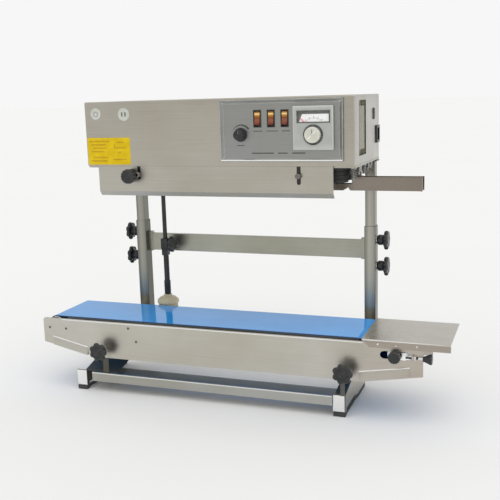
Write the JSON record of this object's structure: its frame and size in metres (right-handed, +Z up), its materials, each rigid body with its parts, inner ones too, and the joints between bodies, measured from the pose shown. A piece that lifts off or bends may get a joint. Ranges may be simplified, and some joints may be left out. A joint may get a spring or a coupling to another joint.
{
  "type": "continuous band sealer",
  "caption": "Upright continuous band sealer: a stainless sealing head on two height-adjustable posts above a blue belt conveyor with an infeed tray.",
  "frame": {"origin": "centre of the footprint at floor level, under the rubber feet", "axes": "+X along the conveyor towards the infeed tray (bags travel towards -X), +Y from the control side to the post side, +Z up"},
  "size_m": [0.84, 0.236, 0.5934],
  "materials": {
    "stainless_sheet": "fine brushed stainless sheet",
    "foot_rubber": "matt black",
    "pulley_rubber": "matt black",
    "blue_belt": "smooth light blue conveyor belt, slightly glossy",
    "machined_aluminium": "turned",
    "dark_steel": "blackened steel",
    "black_plastic": "moulded, satin",
    "chrome_screw": "polished",
    "nylon": "beige nylon",
    "panel_grey": "satin grey with a bright edge",
    "case_grey": "light grey moulding",
    "ivory_plastic": "ivory moulding",
    "red_needle": "red enamel",
    "amber_plastic": "translucent amber",
    "motor_casting": "painted dark grey",
    "sealing_band": "brown coated glass-fibre tape",
    "heater_brass": "milled"
  },
  "bodies": {
    "stand": {"base_bar": "stainless_sheet", "base_bracket_left": "stainless_sheet", "base_bracket_right": "stainless_sheet", "rubber_foot_left": "foot_rubber", "rubber_foot_right": "foot_rubber", "side_plate_front": "stainless_sheet", "side_plate_rear": "stainless_sheet", "bed_plate": "stainless_sheet", "conveyor_belt": "blue_belt", "infeed_tray": "stainless_sheet", "lower_post_left": "stainless_sheet", "lower_post_right": "stainless_sheet", "post_crossbar": "stainless_sheet"},
    "nose_roller": {"nose_roller": "machined_aluminium"},
    "drive_roller": {"drive_roller": "machined_aluminium"},
    "tension_slider": {"tension_slider": "dark_steel"},
    "tension_roller": {"tension_roller": "machined_aluminium"},
    "tension_lock_knob": {"tension_lock_knob": "black_plastic"},
    "tension_screw": {"tension_screw": "black_plastic"},
    "front_knob_left": {"front_knob_left": "black_plastic"},
    "front_knob_right": {"front_knob_right": "black_plastic"},
    "lower_shaft": {"lower_shaft": "dark_steel", "bevel_gear": "nylon"},
    "shaft_lock_knob": {"shaft_lock_knob": "black_plastic"},
    "head": {"upper_post_left": "stainless_sheet", "upper_post_right": "stainless_sheet", "head_housing": "stainless_sheet", "head_base_plate": "stainless_sheet", "control_panel": "panel_grey", "temperature_controller": "case_grey", "power_inlet": "black_plastic", "gear_motor": "motor_casting", "sealing_band_front": "sealing_band", "sealing_band_rear": "sealing_band", "heater_block_front": "heater_brass", "heater_block_rear": "heater_brass", "cooling_block_front": "machined_aluminium", "cooling_block_rear": "machined_aluminium", "infeed_guide": "stainless_sheet"},
    "upper_shaft": {"upper_shaft": "dark_steel"},
    "post_knob_left_upper": {"post_knob_left_upper": "black_plastic"},
    "post_knob_left_lower": {"post_knob_left_lower": "black_plastic"},
    "post_knob_right_upper": {"post_knob_right_upper": "black_plastic"},
    "post_knob_right_lower": {"post_knob_right_lower": "black_plastic"},
    "meter_needle": {"meter_needle": "red_needle"},
    "temperature_dial": {"temperature_dial": "ivory_plastic"},
    "speed_knob": {"speed_knob": "black_plastic"},
    "rocker_switch_left": {"rocker_switch_left": "amber_plastic"},
    "rocker_switch_middle": {"rocker_switch_middle": "amber_plastic"},
    "rocker_switch_right": {"rocker_switch_right": "amber_plastic"},
    "front_guard": {"front_guard": "stainless_sheet"},
    "guard_screw_left": {"guard_screw_left": "chrome_screw"},
    "guard_screw_right": {"guard_screw_right": "chrome_screw"},
    "pressure_knob": {"pressure_knob": "black_plastic"},
    "drive_wheel_front": {"drive_wheel_front": "machined_aluminium"},
    "drive_wheel_rear": {"drive_wheel_rear": "machined_aluminium"},
    "driven_wheel_front": {"driven_wheel_front": "machined_aluminium"},
    "driven_wheel_rear": {"driven_wheel_rear": "machined_aluminium"},
    "guide_pulley_front": {"guide_pulley_front": "pulley_rubber"},
    "guide_pulley_rear": {"guide_pulley_rear": "pulley_rubber"}
  },
  "joints": [
    {"name": "head_lift", "type": "slide", "parent": "stand", "child": "head", "axis": [0, 0, 1], "range_m": [-0.09, 0.06]},
    {"name": "nose_roller_spin", "type": "hinge", "parent": "stand", "child": "nose_roller", "pos_m": [-0.3877, 0, 0.1367], "axis": [0, 1, 0], "continuous": true},
    {"name": "drive_roller_spin", "type": "hinge", "parent": "stand", "child": "drive_roller", "pos_m": [-0.2043, 0, 0.1275], "axis": [0, 1, 0], "continuous": true},
    {"name": "tension_slide", "type": "slide", "parent": "stand", "child": "tension_slider", "axis": [1, 0, 0], "range_m": [-0.004, 0]},
    {"name": "tension_roller_spin", "type": "hinge", "parent": "tension_slider", "child": "tension_roller", "pos_m": [0.322, 0, 0.1295], "axis": [0, 1, 0], "continuous": true},
    {"name": "tension_lock_turn", "type": "hinge", "parent": "tension_slider", "child": "tension_lock_knob", "pos_m": [0.322, -0.0892, 0.1295], "axis": [0, -1, 0], "continuous": true},
    {"name": "tension_screw_turn", "type": "hinge", "parent": "stand", "child": "tension_screw", "pos_m": [0.3724, -0.0889, 0.128], "axis": [1, 0, 0], "range_deg": [0, 1160]},
    {"name": "front_knob_left_turn", "type": "hinge", "parent": "stand", "child": "front_knob_left", "pos_m": [-0.2775, -0.092, 0.0942], "axis": [0, -1, 0], "continuous": true},
    {"name": "front_knob_right_turn", "type": "hinge", "parent": "stand", "child": "front_knob_right", "pos_m": [0.23, -0.092, 0.0942], "axis": [0, -1, 0], "continuous": true},
    {"name": "lower_shaft_spin", "type": "hinge", "parent": "stand", "child": "lower_shaft", "pos_m": [-0.2043, 0.072, 0.1275], "axis": [0, 0, 1], "continuous": true},
    {"name": "shaft_lock_turn", "type": "hinge", "parent": "lower_shaft", "child": "shaft_lock_knob", "pos_m": [-0.1961, 0.072, 0.288], "axis": [1, 0, 0], "continuous": true},
    {"name": "upper_shaft_spin", "type": "hinge", "parent": "head", "child": "upper_shaft", "pos_m": [-0.2043, 0.072, 0.3], "axis": [0, 0, 1], "continuous": true},
    {"name": "post_knob_left_upper_turn", "type": "hinge", "parent": "stand", "child": "post_knob_left_upper", "pos_m": [-0.28155, 0.1, 0.309], "axis": [-1, 0, 0], "continuous": true},
    {"name": "post_knob_left_lower_turn", "type": "hinge", "parent": "stand", "child": "post_knob_left_lower", "pos_m": [-0.28155, 0.1, 0.255], "axis": [-1, 0, 0], "continuous": true},
    {"name": "post_knob_right_upper_turn", "type": "hinge", "parent": "stand", "child": "post_knob_right_upper", "pos_m": [0.25085, 0.1, 0.3065], "axis": [1, 0, 0], "continuous": true},
    {"name": "post_knob_right_lower_turn", "type": "hinge", "parent": "stand", "child": "post_knob_right_lower", "pos_m": [0.25085, 0.1, 0.2536], "axis": [1, 0, 0], "continuous": true},
    {"name": "meter_needle_swing", "type": "hinge", "parent": "head", "child": "meter_needle", "pos_m": [0.1797, -0.1007, 0.535], "axis": [0, 1, 0], "range_deg": [0, 85]},
    {"name": "temperature_dial_turn", "type": "hinge", "parent": "head", "child": "temperature_dial", "pos_m": [0.1792, -0.1029, 0.5265], "axis": [0, -1, 0], "range_deg": [-150, 150]},
    {"name": "speed_knob_turn", "type": "hinge", "parent": "head", "child": "speed_knob", "pos_m": [0.0415, -0.0971, 0.5278], "axis": [0, -1, 0], "range_deg": [-135, 135]},
    {"name": "rocker_left_tilt", "type": "hinge", "parent": "head", "child": "rocker_switch_left", "pos_m": [0.074, -0.0936, 0.556], "axis": [1, 0, 0], "range_deg": [0, 16.5]},
    {"name": "rocker_middle_tilt", "type": "hinge", "parent": "head", "child": "rocker_switch_middle", "pos_m": [0.0999, -0.0936, 0.556], "axis": [1, 0, 0], "range_deg": [0, 16.5]},
    {"name": "rocker_right_tilt", "type": "hinge", "parent": "head", "child": "rocker_switch_right", "pos_m": [0.1255, -0.0936, 0.556], "axis": [1, 0, 0], "range_deg": [0, 16.5]},
    {"name": "guard_slide", "type": "slide", "parent": "head", "child": "front_guard", "axis": [0, 0, 1], "range_m": [-0.008, 0.006]},
    {"name": "guard_screw_left_turn", "type": "hinge", "parent": "head", "child": "guard_screw_left", "pos_m": [-0.1722, -0.0924, 0.4542], "axis": [0, -1, 0], "continuous": true},
    {"name": "guard_screw_right_turn", "type": "hinge", "parent": "head", "child": "guard_screw_right", "pos_m": [0.1484, -0.0924, 0.4528], "axis": [0, -1, 0], "continuous": true},
    {"name": "pressure_knob_turn", "type": "hinge", "parent": "head", "child": "pressure_knob", "pos_m": [-0.186, -0.0924, 0.452], "axis": [0, -1, 0], "continuous": true},
    {"name": "drive_wheel_front_spin", "type": "hinge", "parent": "head", "child": "drive_wheel_front", "pos_m": [-0.225, -0.0462, 0.448], "axis": [0, 0, 1], "continuous": true},
    {"name": "drive_wheel_rear_spin", "type": "hinge", "parent": "head", "child": "drive_wheel_rear", "pos_m": [-0.225, -0.0028, 0.448], "axis": [0, 0, 1], "continuous": true},
    {"name": "driven_wheel_front_spin", "type": "hinge", "parent": "head", "child": "driven_wheel_front", "pos_m": [0.165, -0.0462, 0.448], "axis": [0, 0, 1], "continuous": true},
    {"name": "driven_wheel_rear_spin", "type": "hinge", "parent": "head", "child": "driven_wheel_rear", "pos_m": [0.165, -0.0028, 0.448], "axis": [0, 0, 1], "continuous": true},
    {"name": "guide_pulley_front_spin", "type": "hinge", "parent": "head", "child": "guide_pulley_front", "pos_m": [0.208, -0.0462, 0.448], "axis": [0, 0, 1], "continuous": true},
    {"name": "guide_pulley_rear_spin", "type": "hinge", "parent": "head", "child": "guide_pulley_rear", "pos_m": [0.208, -0.0028, 0.448], "axis": [0, 0, 1], "continuous": true}
  ],
  "couplings": [
    {"joint": "drive_wheel_rear_spin", "follows": "drive_wheel_front_spin", "ratio": -1},
    {"joint": "driven_wheel_front_spin", "follows": "drive_wheel_front_spin", "ratio": 1},
    {"joint": "driven_wheel_rear_spin", "follows": "drive_wheel_front_spin", "ratio": -1},
    {"joint": "guide_pulley_front_spin", "follows": "drive_wheel_front_spin", "ratio": 1.065},
    {"joint": "guide_pulley_rear_spin", "follows": "drive_wheel_front_spin", "ratio": -1.065},
    {"joint": "upper_shaft_spin", "follows": "drive_wheel_front_spin", "ratio": -2},
    {"joint": "lower_shaft_spin", "follows": "drive_wheel_front_spin", "ratio": -2},
    {"joint": "drive_roller_spin", "follows": "drive_wheel_front_spin", "ratio": -2},
    {"joint": "nose_roller_spin", "follows": "drive_wheel_front_spin", "ratio": -1.171},
    {"joint": "tension_roller_spin", "follows": "drive_wheel_front_spin", "ratio": -1.306},
    {"joint": "tension_screw_turn", "follows": "tension_slide", "rad_per_m": -5026.5}
  ]
}
